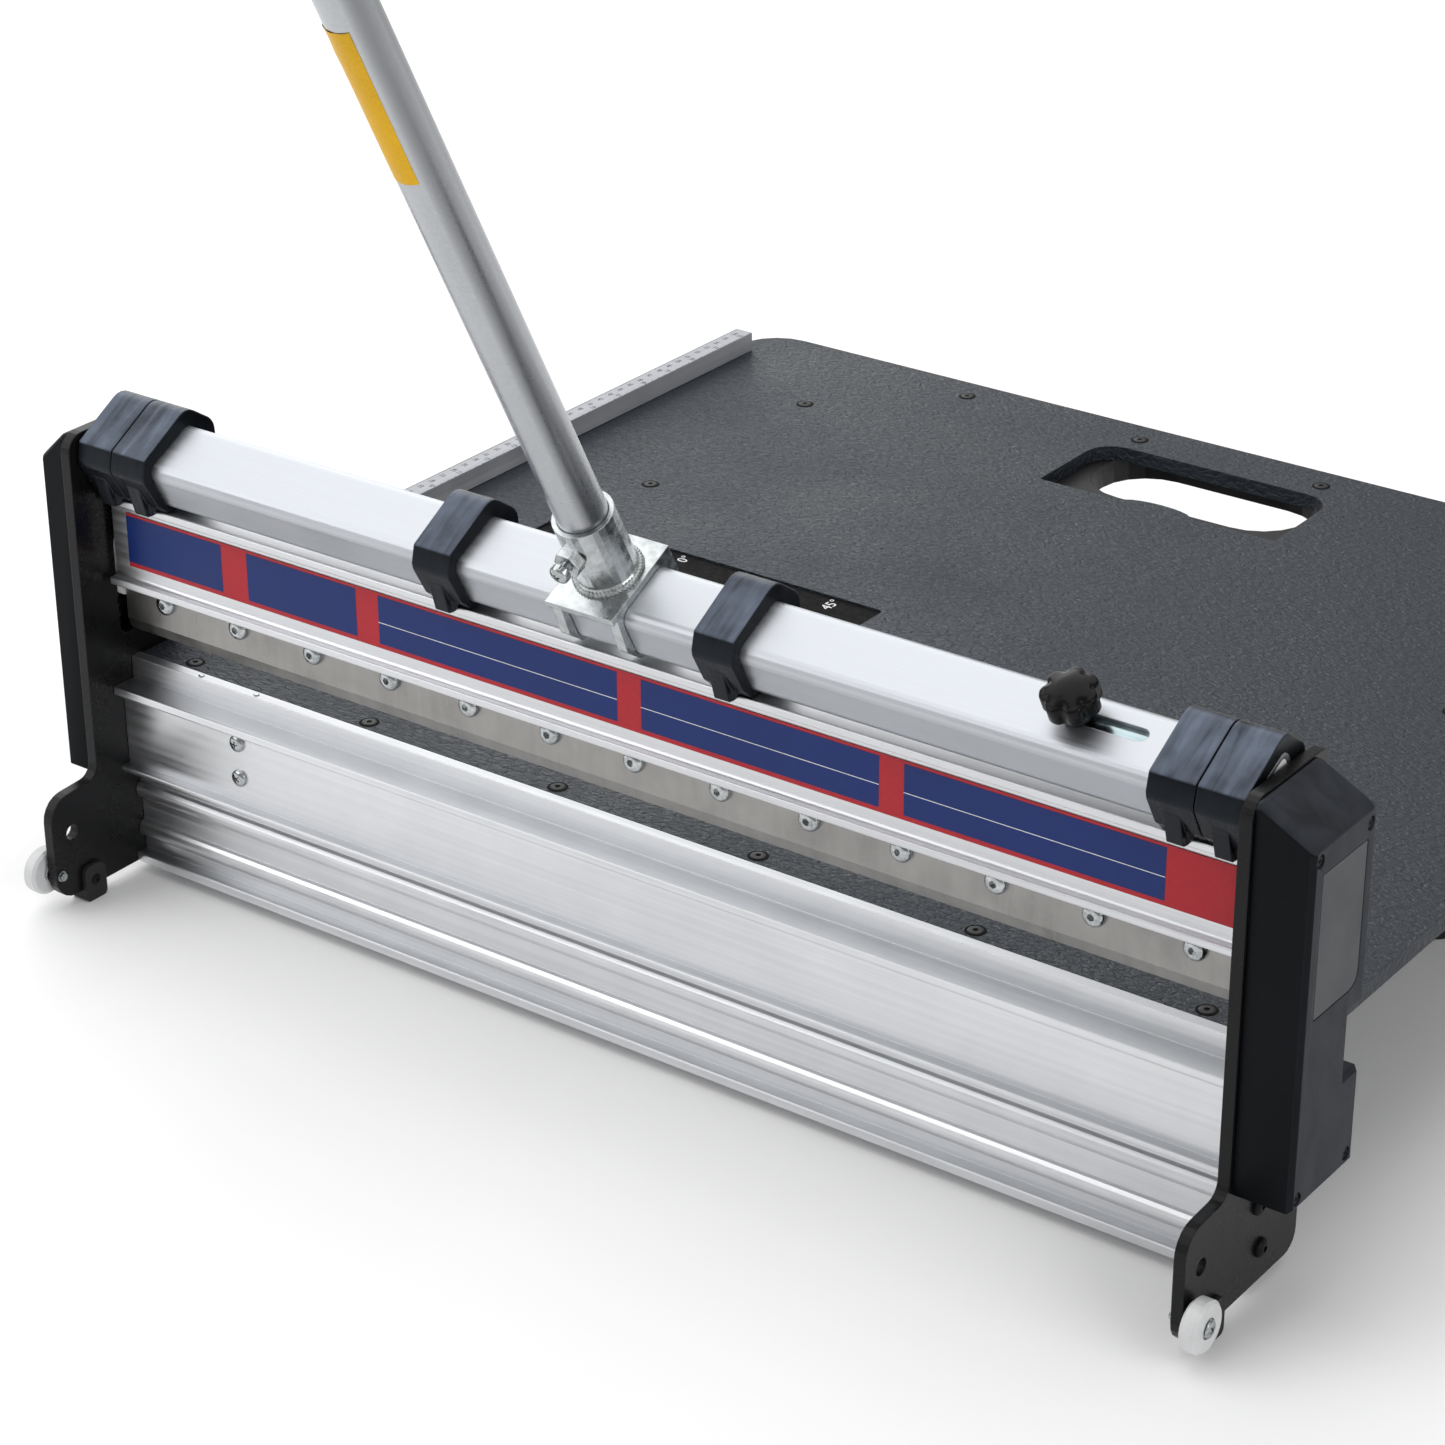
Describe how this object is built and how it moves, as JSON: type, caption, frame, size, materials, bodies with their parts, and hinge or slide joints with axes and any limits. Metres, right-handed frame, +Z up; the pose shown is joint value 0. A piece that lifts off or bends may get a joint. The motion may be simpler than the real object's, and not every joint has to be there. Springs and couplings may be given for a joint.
{
  "type": "laminate floor cutter",
  "caption": "Bench guillotine for floor boards: a long handle turns a bar with cam sleeves that presses a straight blade past an aluminium anvil, with a table behind it.",
  "frame": {"origin": "on the floor, under the middle of the whole cutter's plan", "axes": "+X along the blade to the side with the deeper cover, +Y back over the table, +Z up"},
  "size_m": [0.7498, 0.8947, 0.8026],
  "materials": {
    "black_coat": "black powder coat",
    "aluminium": "extruded, satin",
    "blade_steel": "ground",
    "zinc": "zinc plated",
    "tube": "grey coat",
    "black_nylon": "moulded",
    "black_plastic": "fine grain",
    "board": "black grained laminate on board",
    "print": "printed film",
    "white_nylon": "moulded",
    "rubber": "matt",
    "spring_steel": "oiled"
  },
  "bodies": {
    "base": {"left_side_plate": "black_coat", "right_side_plate": "black_coat", "anvil_extrusion": "aluminium", "table_board": "board", "carrying_frame": "black_plastic", "fence_ruler": "aluminium", "table_leg_front_left": "black_plastic", "table_leg_front_right": "black_plastic", "table_leg_rear_left": "black_plastic", "table_leg_rear_right": "black_plastic", "leg_pad_front_left": "rubber", "leg_pad_front_right": "rubber", "leg_pad_rear_left": "rubber", "leg_pad_rear_right": "rubber", "left_foot": "rubber", "right_foot": "rubber", "left_cover": "black_plastic", "right_cover": "black_plastic", "left_pivot_bush": "white_nylon", "right_pivot_bush": "white_nylon", "left_spring_seat": "zinc", "right_spring_seat": "zinc", "left_return_spring": "spring_steel", "right_return_spring": "spring_steel", "left_wheel_bolt": "zinc", "right_wheel_bolt": "zinc"},
    "press_bar": {"cam_bar": "aluminium", "cam_sleeve_1": "black_nylon", "cam_sleeve_2": "black_nylon", "cam_sleeve_3": "black_nylon", "cam_sleeve_4": "black_nylon", "cam_sleeve_5": "black_nylon", "cam_sleeve_6": "black_nylon", "left_end_plug": "zinc", "right_end_plug": "zinc", "left_pivot_clip": "spring_steel", "right_pivot_clip": "spring_steel", "handle_bracket": "zinc", "handle_socket": "zinc", "clamp_bolt": "zinc", "handle_tube": "tube", "handle_grip": "rubber"},
    "blade_slide": {"blade_carrier": "aluminium", "blade": "blade_steel", "carrier_strip": "print", "left_slide_block": "white_nylon", "right_slide_block": "white_nylon"},
    "bar_lock": {"lock_pin": "zinc"},
    "lock_knob": {"star_knob": "black_plastic"},
    "wheel_left": {"left_wheel": "white_nylon"},
    "wheel_right": {"right_wheel": "white_nylon"}
  },
  "joints": [
    {"name": "handle_swing", "type": "hinge", "parent": "base", "child": "press_bar", "pos_m": [0, -0.163, 0.247], "axis": [-1, 0, 0], "range_deg": [0, 105]},
    {"name": "blade_stroke", "type": "slide", "parent": "base", "child": "blade_slide", "axis": [0, 0, -1], "range_m": [0, 0.0211], "stiffness_N_per_m": 1500, "springref_m": -0.03, "deforming": ["left_return_spring", "right_return_spring"]},
    {"name": "lock_slide", "type": "slide", "parent": "press_bar", "child": "bar_lock", "axis": [1, 0, 0], "range_m": [0, 0.032]},
    {"name": "knob_turn", "type": "hinge", "parent": "bar_lock", "child": "lock_knob", "pos_m": [0.248, -0.15734, 0.26519], "axis": [0, -0.4633, 0.8862], "continuous": true},
    {"name": "left_wheel_turn", "type": "hinge", "parent": "base", "child": "wheel_left", "pos_m": [-0.3583, -0.217, 0.022], "axis": [1, 0, 0], "continuous": true},
    {"name": "right_wheel_turn", "type": "hinge", "parent": "base", "child": "wheel_right", "pos_m": [0.3583, -0.217, 0.022], "axis": [1, 0, 0], "continuous": true}
  ],
  "couplings": [
    {"joint": "blade_stroke", "follows": "handle_swing", "m_per_rad": 0.0115}
  ]
}
